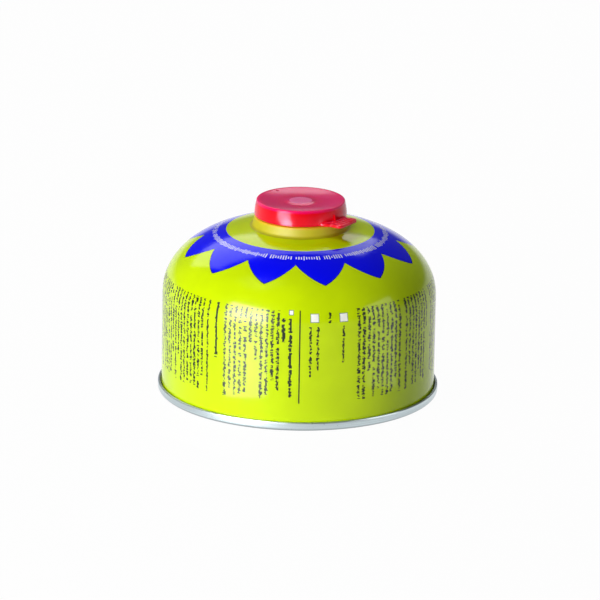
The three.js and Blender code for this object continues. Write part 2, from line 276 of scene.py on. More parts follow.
def cutOrJoin(piece, tool, operation):
    step = piece.modifiers.new(operation, "BOOLEAN")
    step.operation = operation
    step.solver = "EXACT"
    step.object = tool
    asMesh(piece)
    bpy.data.objects.remove(tool)


# the canister's sizes in mm, as its drawing gives them
can = {
    "wallRadius": 53.6, "wallTop": 39.0, "domeRise": 28.2, "crownRadius": 9.3, "domePower": 2.13,
    "neckRadius": 18.6, "neckFillet": 1.3, "collarHeight": 4.3, "collarTop": 18.0, "collarEdge": 0.7,
    "opening": 12.7, "curlRadius": 1.45, "curlLift": 1.4, "skirtPlate": 0.6, "seatGap": 0.3,
    "clinchBulge": 0.6, "clinchWidth": 1.5,
}
end = {
    "seamRadius": 55.0, "seamHeight": 3.4, "seamFloor": 1.0, "outerCorner": 1.1, "topCorner": 0.5,
    "innerCorner": 0.4, "hookCorner": 0.25, "plate": 0.5, "slope": 18.0, "fillet": 1.4, "chuckWall": 3.4,
}


def domeHeight(radius):
    across = (radius - can["crownRadius"]) / (can["wallRadius"] - can["crownRadius"])
    return can["wallTop"] + can["domeRise"] * (1 - across ** can["domePower"]) ** (1 / can["domePower"])


neckHeight = domeHeight(can["neckRadius"] + can["neckFillet"])
shoulder = neckHeight + can["collarHeight"]
curlCentre = shoulder + can["curlLift"]
curlTop = curlCentre + can["curlRadius"]
curlMiddle = can["opening"] + can["curlRadius"]
chuckRadius = can["wallRadius"] - can["skirtPlate"] - can["seatGap"] - end["plate"]


# the end panel's face, set off upwards: a sphere that runs into a fillet, from the axis outwards
def panelFace(offset):
    slope = math.radians(end["slope"])
    filletCentre = chuckRadius - end["fillet"]
    sphere = filletCentre / math.sin(slope) + end["fillet"]
    sphereCentre = end["chuckWall"] - (sphere - end["fillet"]) * math.cos(slope)
    edge = 90.0 - end["slope"]
    dome = arc(0.0, sphereCentre, sphere + offset, 90.0, edge, 30)
    dome[0, 0] = 0.0
    return chain(dome, arc(filletCentre, end["chuckWall"], end["fillet"] + offset, edge, 0.0, 10))


valve = {
    "plate": 0.45, "crimpDepth": 3.35, "bowlDepth": 9.4, "fillet": 1.0, "gasket": 0.45, "sealGap": 0.15,
    "bossInner": 4.35, "bossRise": 9.7, "bossCorner": 0.45, "hole": 2.0,
    "threadRadius": 5.556, "threadPitch": 0.907, "threadDepth": 0.5, "threadLength": 6.6,
    "stemGasket": 1.2, "housingLength": 15.8, "housingWall": 0.8, "housingFloor": 1.2, "inlet": 0.8,
    "nose": 1.2, "noseRecess": 0.5, "flange": 2.6, "flangeThickness": 1.2, "shank": 1.3, "shankLength": 5.0,
    "dimple": 0.55, "dimpleDepth": 0.6, "stemGap": 0.2, "wire": 0.7, "springRadius": 2.35, "springTurns": 6,
}
crimpUnder = curlTop + valve["gasket"] + 2 * valve["sealGap"]
crimpTop = crimpUnder + valve["plate"]
crimpRadius = can["opening"] + 2 * can["curlRadius"] + can["seatGap"] + valve["plate"]
bowlOuter = can["opening"] - can["seatGap"]
cupFloor = crimpTop - valve["bowlDepth"]
bossTop = cupFloor + valve["bossRise"]
clinch = curlCentre - can["curlRadius"] - can["clinchWidth"] / 2
threadRoot = valve["threadRadius"] - valve["threadDepth"]
bossWall = (valve["bossInner"] + 3 * threadRoot) / 4
stemGasketTop = bossTop - valve["plate"] - valve["sealGap"]
stemGasketUnder = stemGasketTop - valve["stemGasket"]
housingRadius = valve["bossInner"] - can["seatGap"]
housingTop = stemGasketUnder - valve["sealGap"]
housingBottom = housingTop - valve["housingLength"]
flangeTop = stemGasketUnder - valve["stemGap"]
flangeUnder = flangeTop - valve["flangeThickness"]


def smoothBulge(radius, depth, middle, width, count=14):
    height = np.linspace(middle + width / 2, middle - width / 2, count)
    wave = 0.5 + 0.5 * np.cos((height - middle) / width * 2 * math.pi)
    return np.stack([radius + depth * wave, height], 1)


def bodyProfile():
    skirtInner = can["wallRadius"] - can["skirtPlate"]
    hem = end["seamFloor"] + can["seatGap"]
    angle = np.linspace(0.0, math.pi / 2, 110)
    power = 2 / can["domePower"]
    dome = np.stack([
        can["crownRadius"] + (can["wallRadius"] - can["crownRadius"]) * np.cos(angle) ** power,
        can["wallTop"] + can["domeRise"] * np.sin(angle) ** power,
    ], 1)
    collar, fillet = can["collarTop"] - can["collarEdge"], can["neckFillet"]
    dome = dome[dome[:, 0] > can["neckRadius"] + fillet + 0.35]     # the fillet takes over from here
    wellRadius = housingRadius + can["seatGap"]
    seat = cupFloor - valve["plate"] - can["seatGap"]
    return chain(
        panelFace(end["plate"] + can["seatGap"]),
        (skirtInner, hem),
        (can["wallRadius"], hem),
        line((can["wallRadius"], hem), (can["wallRadius"], can["wallTop"]), 12),
        dome,
        arc(can["neckRadius"] + fillet, neckHeight + fillet, fillet, 262, 180, 14),
        arc(collar, shoulder - can["collarEdge"], can["collarEdge"], 4, 90, 12),
        arc(curlMiddle, curlCentre, can["curlRadius"], -50, 180, 26),
        smoothBulge(can["opening"], can["clinchBulge"], clinch, can["clinchWidth"] + 2 * can["seatGap"]),
        (can["opening"], seat),
        (wellRadius, seat),
        (wellRadius, housingBottom - can["seatGap"]),
        (0.0, housingBottom - can["seatGap"]),
    )


def endProfile():
    outer = can["wallRadius"] + can["seatGap"]
    inner = chuckRadius + end["plate"]
    roll = end["seamRadius"] - end["outerCorner"]
    lip, hook = end["topCorner"], end["hookCorner"]
    return chain(
        panelFace(0.0),
        arc(chuckRadius + end["innerCorner"], end["innerCorner"], end["innerCorner"], 180, 270, 8),
        arc(roll, end["outerCorner"], end["outerCorner"], -90, 0, 14),
        line((end["seamRadius"], end["outerCorner"]), (end["seamRadius"], end["seamHeight"] - lip), 4),
        arc(end["seamRadius"] - lip, end["seamHeight"] - lip, lip, 0, 90, 8),
        arc(outer + hook, end["seamHeight"] - hook, hook, 90, 180, 4),
        (outer, end["seamFloor"]),
        (inner, end["seamFloor"]),
        panelFace(end["plate"])[::-1],
    )


# the print: petals on the shoulder, a ring of white ticks, and columns of fine strokes on the wall
printing = {
    "petals": 12, "firstTip": -17.3, "tipRadius": 46.0, "petalFall": 0.30, "petalCurve": 0.0182,
    "innerRadius": 29.0, "outline": 0.28, "petalFoot": 8.0,     # mm above the wall where petals may start
    "tickRing": (31.6, 35.2), "tickPitch": 1.0, "tickShare": 0.38, "tickHeights": (0.14, 0.34), "tickGap": 0.36,
    "columnTop": 47.6, "columnBottom": 11.0, "pitch": 2.2, "shortLines": 30.0, "raggedEnds": 2.0,
    "runGap": 0.37, "middleBand": 0.2, "tallBand": 0.35, "tallShare": 0.24,
    "panelMarks": (0.38, 6.0, 0.68),     # length of a mark, rows across a line, and share of them inked
    "lineMarks": (0.48, 5.0), "lineFill": 0.72,
    "panels": [(-150.0, -111.0), (-106.0, -40.6), (-31.0, -7.3), (23.2, 45.5), (47.0, 64.0), (67.5, 92.0),
               (97.0, 150.0)],     # mm along the wall from the front, first and last line of each panel
    "lines": [                     # place along the wall, top, bottom, width and density of a single line
        (-38.3, 47.6, 11.0, 1.2, 0.74), (-34.0, 47.6, 25.7, 1.6, 0.9), (-5.8, 44.8, 35.4, 1.6, 0.9),
        (-3.1, 44.8, 13.2, 1.6, 0.9), (4.7, 41.7, 21.5, 1.3, 0.75), (7.6, 41.7, 24.2, 1.3, 0.75),
        (12.3, 47.0, 43.0, 1.3, 0.75), (17.8, 41.7, 26.9, 1.2, 0.75),
    ],
    "divider": (0.55, 47.8, 10.8, 0.55),
    "tiles": [(6.3, 45.0, 3.4), (17.9, 44.8, 3.4), (-2.9, 47.0, 1.9)],   # place, height and side of each
    "tileLine": 0.22,
}
lacquer = {
    "lime": paint(200, 228, 0), "limeShade": paint(194, 222, 0), "blue": paint(0, 4, 246),
    "navy": paint(8, 12, 90), "ink": paint(34, 46, 26), "white": paint(246, 247, 240),
    # painted light on the collar: a warm tint that is painted shade with a painted red reflection of the cap, a
    # painted shade in the crease at its foot, and under the cap's rim a band that is a painted reflection of
    # the cap
    "tileEdge": paint(96, 110, 120), "collarShadeAndCapReflection": paint(192, 180, 0), "creaseShade": paint(152, 148, 0),
    "collarEdge": paint(230, 170, 6), "collarReach": 1.2, "creaseShadeDepth": 0.7, "capReflectionDepth": 0.75,
    "roughness": 0.1, "smearRoughness": 0.06, "inkRoughness": 0.12, "collarRoughness": 0.45, "ior": 1.3,
}


# short broken marks in lines: runs with gaps, a dense middle band and a few taller marks
def strokes(graph, along, across, seed, cell, rows, density):
    number = across.floor()
    run = graph.noise(graph.vector(number * 7.13 + seed, along * 0.55), 1.0, 1.0) > printing["runGap"]
    side = ((across - number) - 0.5).size()
    low = graph.dice(graph.vector((along / cell).floor(), number + seed, (across * rows).floor())) < density
    tall = graph.dice(graph.vector((along / (cell * 1.3)).floor(), number - seed, across > number + 0.5))
    low = (side < printing["middleBand"]) * low
    return run * (low | (side < printing["tallBand"]) * (tall < printing["tallShare"]))


def between(wire, low, high):
    return (wire > low) * (wire < high)


# white ticks round the blue ring: one upright to each place, with its own height, and gaps between runs
def ringTicks(graph, along, across):
    place = along / printing["tickPitch"]
    part = place - place.floor()
    short, tall = printing["tickHeights"]
    height = graph.dice(graph.vector(place.floor(), 7.0)) * (tall - short) + short
    shown = graph.noise(graph.vector(place.floor() * 0.21, 4.0), 1.0, 1.0) > printing["tickGap"]
    return shown * ((across - 0.5).size() < height) * (part < printing["tickShare"])


def lacquerMaterial():
    graph = Graph("limeLacquer")
    x, y, z, radius, turn = graph.place()
    spot = graph.vector(x, y, z)
    along = (turn + 90.0) * (math.pi / 180.0 * can["wallRadius"])
    along = along - (along > math.pi * can["wallRadius"]) * (2 * math.pi * can["wallRadius"])
    onShoulder = z > can["wallTop"] + printing["petalFoot"]

    step = 360.0 / printing["petals"]
    share = (turn - printing["firstTip"]) / step + 40.5
    away = ((share - share.floor()) - 0.5).size() * step
    petalEdge = printing["tipRadius"] - away * printing["petalFall"] - away * away * printing["petalCurve"]
    inside = petalEdge - radius
    petals = (inside > 0.0) * (radius > printing["innerRadius"]) * onShoulder
    outline = petals * (inside < printing["outline"])
    low, high = printing["tickRing"]
    ringAlong = turn * (math.pi / 180.0 * (low + high) / 2)
    ringAcross = (radius - low) / (high - low)
    ring = ringTicks(graph, ringAlong, ringAcross) * between(radius, low, high) * onShoulder

    ink = None
    for number, (first, last) in enumerate(printing["panels"]):
        across = (along - first) / printing["pitch"]
        lineDice = graph.dice(graph.vector(across.floor(), number + 0.5))
        stop = lineDice ** 6 * printing["shortLines"] + lineDice * printing["raggedEnds"]
        mask = between(along, first, last) * between(z, stop + printing["columnBottom"], printing["columnTop"])
        mask = mask * strokes(graph, z, across, number * 11.0, *printing["panelMarks"])
        ink = mask if ink is None else ink | mask
    for number, (place, top, bottom, width, density) in enumerate(printing["lines"]):
        across = (along - place) / width * printing["lineFill"] + 0.5
        mask = between(across, 0.0, 1.0) * between(z, bottom, top)
        ink = ink | mask * strokes(graph, z, across, 90.0 + number * 5.0, *printing["lineMarks"], density)
    place, top, bottom, width = printing["divider"]
    ink = ink | ((along - place).size() < width / 2) * between(z, bottom, top)

    tiles = tileEdges = None
    for place, height, side in printing["tiles"]:
        spread = (along - place).size() | (z - height).size()
        tile, edge = spread < side / 2, between(spread, side / 2 - printing["tileLine"], side / 2)
        tiles = tile if tiles is None else tiles | tile
        tileEdges = edge if tileEdges is None else tileEdges | edge

    cloud = graph.noise(spot, 0.06, 3.0)
    colour = graph.mix(cloud.ease(0.35, 0.65), lacquer["lime"], lacquer["limeShade"])
    onCollar = radius < can["neckRadius"] + lacquer["collarReach"]
    # painted shade and a painted red reflection of the cap, over the collar above its foot
    colour = graph.mix(onCollar * z.ease(neckHeight - 0.5, neckHeight + 0.6), colour, lacquer["collarShadeAndCapReflection"])
    # a band just under the cap that is a painted reflection of the red cap
    edge = onCollar * z.ease(shoulder - 1.4, shoulder) * lacquer["capReflectionDepth"]
    colour = graph.mix(edge, colour, lacquer["collarEdge"])
    # painted shade in the crease at the collar's foot
    creaseShade = z.ease(neckHeight - 0.6, neckHeight + 0.1) * (1.0 - z.ease(neckHeight + 0.1, neckHeight + 1.2))
    colour = graph.mix(onCollar * creaseShade * lacquer["creaseShadeDepth"], colour, lacquer["creaseShade"])
    colour = graph.mix(petals, colour, lacquer["blue"])
    colour = graph.mix(outline, colour, lacquer["navy"])
    colour = graph.mix(ring, colour, lacquer["white"])
    colour = graph.mix(ink, colour, lacquer["ink"])
    colour = graph.mix(tiles, colour, lacquer["white"])
    colour = graph.mix(tileEdges, colour, lacquer["tileEdge"])
    peel = graph.noise(spot, 0.9, 2.0)
    smear = graph.noise(spot, 0.12, 3.0)
    roughness = smear * lacquer["smearRoughness"] + lacquer["roughness"]
    roughness = roughness + ink * lacquer["inkRoughness"] + onCollar * lacquer["collarRoughness"]
    graph.set(Base_Color=colour, Roughness=roughness, IOR=lacquer["ior"])
    graph.bump(peel, 0.05, 0.05)
    return graph


steel = {
    # the dark colour serves real scuffs and painted shade, both at the foot of the seam and in the crease where
    # the seam meets the wall
    "colour": paint(198, 212, 216), "streak": paint(170, 180, 184), "scuffsAndShade": paint(96, 102, 104),
    "roughness": 0.2, "scuffDepth": 0.6, "footShadeDepth": 0.75, "creaseShadeDepth": 0.5, "creaseWidth": 0.75,
}


def steelMaterial():
    graph = Graph("bareSteel")
    x, y, z, radius, turn = graph.place()
    bands = graph.noise(graph.vector(radius * 3.0, z * 3.5, turn * 0.02), 1.0, 4.0, 0.6)
    ripple = graph.noise(graph.vector(turn * 0.35, z * 0.15, 3.0), 1.0, 2.0)
    fine = graph.noise(graph.vector(x * 9.0, y * 0.7, z * 4.0), 1.0, 3.0)
    colour = graph.mix(bands.ease(0.35, 0.7), steel["colour"], steel["streak"])
    scuffs = graph.noise(graph.vector(x * 0.6, y * 0.6, z * 1.6), 1.0, 3.0).ease(0.66, 0.74)
    outer = radius > can["wallRadius"]
    # painted shade: darker towards the foot of the seam, and in the crease next to the wall
    foot = outer * (1.0 - (z + bands * 0.8).ease(0.5, 1.5))
    creaseShade = outer * (radius < can["wallRadius"] + steel["creaseWidth"])
    # real scuffs together with the painted shade
    scuffsAndShade = scuffs * steel["scuffDepth"] | foot * steel["footShadeDepth"] | creaseShade * steel["creaseShadeDepth"]
    colour = graph.mix(scuffsAndShade, colour, steel["scuffsAndShade"])
    graph.set(Base_Color=colour, Metallic=1.0)
    graph.set(Roughness=steel["roughness"] + bands * 0.12 + fine * 0.06)
    graph.bump(bands * 0.7 + ripple * 0.6 + fine * 0.15, 0.12, 0.08)
    return graph


finishPiece(turned("canShell", bodyProfile(), 288), lacquerMaterial(), canBody, "lime_lacquer", "can_body")
finishPiece(turned("seamedEnd", endProfile(), 288), steelMaterial(), canBody, "bare_steel", "bottom_end")
print("can shell and seamed end made")


# the valve: tinplate cup with its rolled thread, gaskets, housing, stem and spring
def cupProfile():
    inner = bowlOuter - valve["plate"]
    corner = can["curlRadius"] * 0.5
    wide = corner + valve["plate"]
    under = cupFloor - valve["plate"]
    crimpInner = crimpRadius - valve["plate"]
    bossFillet = valve["fillet"] * 0.6
    edge = valve["bossCorner"]
    threadTop = bossTop - edge
    skirtEnd = crimpTop - valve["crimpDepth"]
    return chain(
        (valve["bossInner"], under),
        arc(bowlOuter - valve["fillet"], under + valve["fillet"], valve["fillet"], -90, 0, 8),
        smoothBulge(bowlOuter, can["clinchBulge"], clinch, can["clinchWidth"])[::-1],
        arc(bowlOuter + corner, crimpUnder - corner, corner, 180, 90, 8),
        arc(crimpInner - corner, crimpUnder - corner, corner, 90, 0, 8),
        (crimpInner, skirtEnd),
        (crimpRadius, skirtEnd),
        arc(crimpRadius - wide, crimpTop - wide, wide, 0, 90, 12),
        arc(inner + wide, crimpTop - wide, wide, 90, 180, 12),
        smoothBulge(inner, can["clinchBulge"], clinch, can["clinchWidth"]),
        arc(inner - valve["fillet"], cupFloor + valve["fillet"], valve["fillet"], 0, -90, 8),
        arc(bossWall + bossFillet, cupFloor + bossFillet, bossFillet, 270, 180, 8),
        line((bossWall, threadTop - valve["threadLength"]), (bossWall, threadTop), 96),
        arc(bossWall - edge, bossTop - edge, edge, 4, 90, 8),
        (valve["hole"], bossTop),
        (valve["hole"], bossTop - valve["plate"]),
        (valve["bossInner"], bossTop - valve["plate"]),
    )


# a rolled thread: the radius rises and falls once for each pitch, following z and the turn together
def threadLift(angle, radius, height):
    top = bossTop - valve["bossCorner"]
    bottom = top - valve["threadLength"]
    phase = (height - bottom) / valve["threadPitch"] - angle / (2 * math.pi)
    wave = 0.5 - 0.5 * np.cos(2 * math.pi * phase)
    ends = np.clip(np.minimum(height - bottom, top - height) / valve["threadPitch"], 0.0, 1.0)
    onWall = np.abs(radius - bossWall) < 1e-6
    return onWall * ends * (threadRoot - bossWall + valve["threadDepth"] * wave ** 0.8)


tinplate = {"colour": paint(206, 206, 200), "streak": paint(170, 170, 164), "roughness": 0.24}


def tinplateMaterial():
    graph = Graph("tinplate")
    x, y, z, radius, turn = graph.place()
    drawn = graph.noise(graph.vector(radius * 4.0, z * 4.0, turn * 0.05), 1.0, 3.0)
    spangle = graph.noise(graph.vector(x, y, z), 0.8, 3.0)
    graph.set(Base_Color=graph.mix(drawn.ease(0.3, 0.75), tinplate["colour"], tinplate["streak"]), Metallic=1.0)
    graph.set(Roughness=tinplate["roughness"] + spangle * 0.14)
    graph.bump(drawn + spangle * 0.4, 0.1, 0.05)
    return graph


def plainMaterial(name, colour, shade, roughness, scale, bump, metallic=0.0):
    graph = Graph(name)
    x, y, z = graph.place()[:3]
    grain = graph.noise(graph.vector(x, y, z), scale, 4.0, 0.6)
    graph.set(Base_Color=graph.mix(grain.ease(0.3, 0.7), colour, shade), Metallic=metallic)
    graph.set(Roughness=roughness + grain * 0.15)
    graph.bump(grain, bump, 0.05)
    return graph


def ringProfile(inner, outer, low, high, corner=0.12):
    return chain(
        arc(inner + corner, low + corner, corner, 180, 270, 4),
        arc(outer - corner, low + corner, corner, 270, 360, 4),
        arc(outer - corner, high - corner, corner, 0, 90, 4),
        arc(inner + corner, high - corner, corner, 90, 180, 4),
    )


def housingProfile():
    bore = housingRadius - valve["housingWall"]
    floorTop = housingBottom + valve["housingFloor"]
    return chain(
        (valve["inlet"], housingBottom),
        arc(housingRadius - 1.0, housingBottom + 1.0, 1.0, -90, 0, 8),
        (housingRadius, housingTop),
        (bore, housingTop),
        arc(bore - 0.3, floorTop + 0.3, 0.3, 0, -90, 5),
        (valve["inlet"], floorTop),
    )


def stemProfile():
    noseTop = bossTop - valve["noseRecess"]
    foot = flangeUnder - valve["shankLength"]
    edge = 0.25
    return chain(
        (0.0, foot),
        arc(valve["shank"] - edge, foot + edge, edge, -90, 0, 5),
        (valve["shank"], flangeUnder),
        arc(valve["flange"] - edge, flangeUnder + edge, edge, -90, 0, 5),
        arc(valve["flange"] - edge, flangeTop - edge, edge, 0, 90, 5),
        (valve["nose"], flangeTop),
        arc(valve["nose"] - edge, noseTop - edge, edge, 0, 90, 5),
        (valve["dimple"], noseTop),
        (valve["dimple"] - 0.1, noseTop - valve["dimpleDepth"] + 0.1),
        (0.0, noseTop - valve["dimpleDepth"]),
    )


# spring wire: a circle carried along a helix whose first and last turns lie closed
def springMesh(name, bottom, top, steps=260, sides=12):
    turns, wire = valve["springTurns"], valve["wire"]
    share = np.linspace(0.0, turns, steps)
    closed = wire * 1.1
    rise = top - bottom - wire
    lift = np.interp(share, [0.0, 1.0, turns - 1.0, turns], [0.0, closed, rise - closed, rise])
    angle = share * 2 * math.pi
    height = bottom + wire / 2 + lift
    out = np.stack([np.cos(angle), np.sin(angle), np.zeros(steps)], 1)
    middle = out * valve["springRadius"] + np.stack([0 * height, 0 * height, height], 1)
    around = np.linspace(0.0, 2 * math.pi, sides, endpoint=False)
    ring = np.cos(around)[None, :, None] * out[:, None, :]
    ring = ring + np.sin(around)[None, :, None] * np.array([0.0, 0.0, 1.0])
    points = (middle[:, None, :] + wire / 2 * ring).reshape(-1, 3)
    number = np.arange(steps * sides).reshape(steps, sides)
    a, b = number[:-1], number[1:]
    quads = np.stack([a, np.roll(a, -1, 1), np.roll(b, -1, 1), b], 2).reshape(-1, 4)
    faces = quads[:, ::-1].tolist() + [number[0].tolist(), number[-1][::-1].tolist()]
    return addMesh(name, points, faces, 50.0)


rubberGraph = plainMaterial("blackRubber", paint(34, 34, 36), paint(22, 22, 24), 0.62, 1.6, 0.15)
acetalGraph = plainMaterial("whiteAcetal", paint(226, 223, 212), paint(214, 210, 198), 0.38, 0.9, 0.06)
springGraph = plainMaterial("springSteel", paint(172, 172, 168), paint(140, 140, 136), 0.25, 2.4, 0.08, 1.0)
cupGasketLow = curlTop + valve["sealGap"]
gasketHalf = can["curlRadius"] - can["seatGap"]

cup = turned("valveCup", cupProfile(), 160, threadLift)
finishPiece(cup, tinplateMaterial(), canBody, "tinplate", "valve_cup")
cupGasketHigh = cupGasketLow + valve["gasket"]
gasket = ringProfile(curlMiddle - gasketHalf, curlMiddle + gasketHalf, cupGasketLow, cupGasketHigh)
finishPiece(turned("cupGasket", gasket, 128), rubberGraph, canBody, "black_rubber", "cup_gasket")
gasket = ringProfile(valve["nose"] + can["seatGap"], housingRadius, stemGasketUnder, stemGasketTop)
finishPiece(turned("stemGasket", gasket, 96), rubberGraph, canBody, "black_rubber", "stem_gasket")
housing = turned("valveHousing", housingProfile(), 96)
finishPiece(housing, acetalGraph, canBody, "white_plastic", "valve_housing")
finishPiece(turned("valveStem", stemProfile(), 72), acetalGraph, stemBody, "white_plastic", "valve_stem")
springLow = housingBottom + valve["housingFloor"] + valve["sealGap"]
springHigh = flangeUnder - valve["sealGap"]
spring = springMesh("valveSpring", springLow, springHigh)
spring.data.materials.append(springGraph.material)
springLow * millimetre
springHigh * millimetre
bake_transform(spring)
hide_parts("valve_spring")
print("valve made")


# the cap: one moulding with a dished top, a vent and a pull tab
cap = {
    "wall": 1.1, "draft": 0.7, "corner": 0.55, "snapDepth": 0.3, "snapLift": 1.2, "snapWidth": 1.6,
    "roofGap": 0.2, "dishDepth": 0.8, "dishFloor": 7.0, "rimLand": 0.7,
    "discRadius": 4.4, "discRise": 0.65, "discBevel": 0.9, "discCrown": 0.55,
    "lip": 0.15, "skirtCurve": 1.9, "dishCurve": 1.5,
    "vent": 0.65, "ventPlace": 14.6, "ventAzimuth": 129.0,
    "tabAzimuth": -38.5, "tabReach": 24.2, "tabSkew": 0.9, "tabWidth": 12.6, "tabThickness": 1.25,
    "tabCorner": 2.0, "tabEdge": 0.32, "tabRootNeck": 1.0, "ledgeWidth": 1.9, "ledgeSpan": 27.0,
    "farRootSpan": 22.0, "gussetAzimuth": -43.0, "gussetHeight": 2.4, "gussetReach": 1.0,
    "gussetThickness": 0.6, "ribCount": 3, "ribHeight": 0.3, "ribWidth": 0.8, "ribSpacing": 1.7,
}
snapRadius = crimpRadius + can["seatGap"]
capInner = snapRadius + cap["snapDepth"]
skirtRadius = capInner + cap["wall"]
topRadius = skirtRadius - cap["draft"]
capBottom = shoulder + can["seatGap"]
capTop = max(bossTop, crimpTop) + cap["roofGap"] + cap["wall"] + cap["dishDepth"]


def capProfile():
    snap = capBottom + cap["snapLift"]
    roof = topRadius - cap["wall"]
    dishFloor = capTop - cap["dishDepth"]
    disc = dishFloor + cap["discRise"]
    beyond = cap["discRadius"] + cap["discBevel"]
    rimInner = topRadius - cap["corner"] - cap["rimLand"]
    skirtTop = capTop - cap["corner"]
    lip = cap["lip"]
    share = np.linspace(0.0, 1.0, 24)
    skirt = np.stack([skirtRadius - cap["draft"] * share ** cap["skirtCurve"],
                      capBottom + lip + (skirtTop - capBottom - lip) * share], 1)
    reach = rimInner + (cap["dishFloor"] - rimInner) * share
    dish = np.stack([reach, dishFloor + cap["dishDepth"] * (1 - share) ** cap["dishCurve"]], 1)
    across = (beyond + 0.1) * (1 - share)
    lens = np.stack([across, dishFloor + cap["discRise"] * cap["discCrown"] * (1 - (1 - share) ** 5.0)], 1)
    return chain(
        (0.0, disc - cap["wall"]),
        (cap["discRadius"], disc - cap["wall"]),
        (beyond, dishFloor - cap["wall"]),
        (cap["dishFloor"], dishFloor - cap["wall"]),
        (roof - 1.0, capTop - cap["wall"] - lip),
        arc(roof - 0.75, capTop - cap["wall"] - 0.75, 0.55, 80, 10, 5),
        (capInner, snap + cap["snapWidth"] / 2),
        smoothBulge(capInner, -cap["snapDepth"], snap, cap["snapWidth"]),
        (capInner, capBottom + lip),
        arc(capInner + lip, capBottom + lip, lip, 180, 270, 4),
        arc(skirtRadius - lip, capBottom + lip, lip, 270, 360, 4),
        skirt,
        arc(topRadius - cap["corner"], skirtTop, cap["corner"], 8, 90, 14),
        dish,
        lens,
    )


def curve(start, middle, stop, count=10):     # a quadratic curve, its first point left out
    start, middle, stop = np.array(start), np.array(middle), np.array(stop)
    share = np.linspace(0.0, 1.0, count)[1:, None]
    return (1 - share) ** 2 * start + 2 * share * (1 - share) * middle + share ** 2 * stop


def tabOutline():
    root = skirtRadius - cap["wall"] / 2
    half, corner = cap["tabWidth"] / 2, cap["tabCorner"]
    near, far = cap["tabReach"] + cap["tabSkew"] / 2, cap["tabReach"] - cap["tabSkew"] / 2
    start, stop = -math.radians(cap["ledgeSpan"]), math.radians(cap["farRootSpan"])
    ledge = skirtRadius + cap["ledgeWidth"]
    begin = (skirtRadius + 0.4) * np.array([math.cos(start), math.sin(start)])
    return np.concatenate([
        root * np.array([[math.cos(start), math.sin(start)]]),
        begin[None, :],
        curve(begin, (ledge * 0.97, -half - 1), (ledge, -half)),
        [[near - corner, -half]],
        curve((near - corner, -half), (near, -half), (near, -half + corner)),
        [[far, half - corner]],
        curve((far, half - corner), (far, half), (far - corner, half)),
        [[skirtRadius + 0.8, half - cap["tabRootNeck"]]],
        arc(0.0, 0.0, root, math.degrees(stop), math.degrees(start), 12)[:-1],
    ])


# a closed solid between two copies of one outline, seen anticlockwise from the second
def prism(name, first, second):
    count = len(first)
    ring = np.arange(count)
    sides = np.stack([ring, np.roll(ring, -1), np.roll(ring, -1) + count, ring + count], 1).tolist()
    faces = sides + [ring[::-1].tolist(), (ring + count).tolist()]
    return addMesh(name, np.concatenate([first, second]), faces)


# an outline in plan carried up through its thickness, turned to its azimuth on the skirt
def slab(name, outline, low, high, azimuth, edge=0.0):
    turn = math.radians(azimuth)
    spin = np.array([[math.cos(turn), math.sin(turn), 0], [-math.sin(turn), math.cos(turn), 0], [0, 0, 1]])
    under, over = (np.c_[outline, np.full(len(outline), height)] @ spin for height in (low, high))
    piece = prism(name, under, over)
    if edge:
        bevel = piece.modifiers.new("edge", "BEVEL")
        bevel.width = edge * millimetre
        bevel.segments = 4
        bevel.limit_method = "ANGLE"
        asMesh(piece)
    return piece


def gussetMesh():
    low = capBottom + cap["tabThickness"] / 2
    top = capBottom + cap["tabThickness"]
    inner, outer = skirtRadius - cap["wall"] / 2, skirtRadius + cap["gussetReach"]
    profile = [(inner, low), (outer, low), (outer, top), (skirtRadius, top + cap["gussetHeight"]),
               (inner, top + cap["gussetHeight"])]
    half = cap["gussetThickness"] / 2
    turn = math.radians(cap["gussetAzimuth"])
    along = np.array([math.cos(turn), math.sin(turn), 0.0])
    side = np.array([-math.sin(turn), math.cos(turn), 0.0])
    flat = np.array([along * reach + np.array([0.0, 0.0, height]) for reach, height in profile])
    return prism("gusset", flat + side * half, flat - side * half)


def capMesh():
    piece = turned("capShell", capProfile(), 256)
    top = capBottom + cap["tabThickness"]
    cutOrJoin(piece, slab("tab", tabOutline(), capBottom, top, cap["tabAzimuth"], cap["tabEdge"]), "UNION")
    cutOrJoin(piece, gussetMesh(), "UNION")
    half = cap["tabWidth"] / 2 - cap["tabCorner"]
    for number in range(cap["ribCount"]):
        reach = cap["tabReach"] - cap["tabSkew"] / 2 - cap["ribWidth"] - cap["ribSpacing"] * number
        width = cap["ribWidth"] / 2
        bar = np.concatenate([arc(reach, half, width, 0, 180, 9), arc(reach, -half, width, 180, 360, 9)])
        rib = slab("rib", bar, top - cap["ribHeight"], top + cap["ribHeight"], cap["tabAzimuth"], 0.15)
        cutOrJoin(piece, rib, "UNION")
    place = math.radians(cap["ventAzimuth"])
    hole = arc(cap["ventPlace"] * math.cos(place), cap["ventPlace"] * math.sin(place), cap["vent"], 0, 345, 24)
    cutOrJoin(piece, slab("vent", hole, capTop - 2 * cap["wall"], capTop + cap["wall"], 0.0), "DIFFERENCE")
    return piece


redPlastic = {
    # the pinker top of the cap is a painted reflection
    "colour": paint(254, 0, 22), "shade": paint(250, 0, 14), "crownReflection": paint(255, 10, 100),
    # the disc's pale pink is a painted reflection
    "disc": paint(255, 100, 155), "roughness": 0.12, "waveRoughness": 0.08, "discRoughness": 0.3, "ior": 1.3,
    "specularTint": (1.0, 0.5, 0.85, 1.0), "coat": 0.2, "sheen": 0.6, "sheenTint": (1.0, 0.08, 0.3, 1.0),
    "translucency": 0.5, "lightDepth": 0.006, "lightColour": (1.0, 0.12, 0.2),     # how far light goes in, m
}


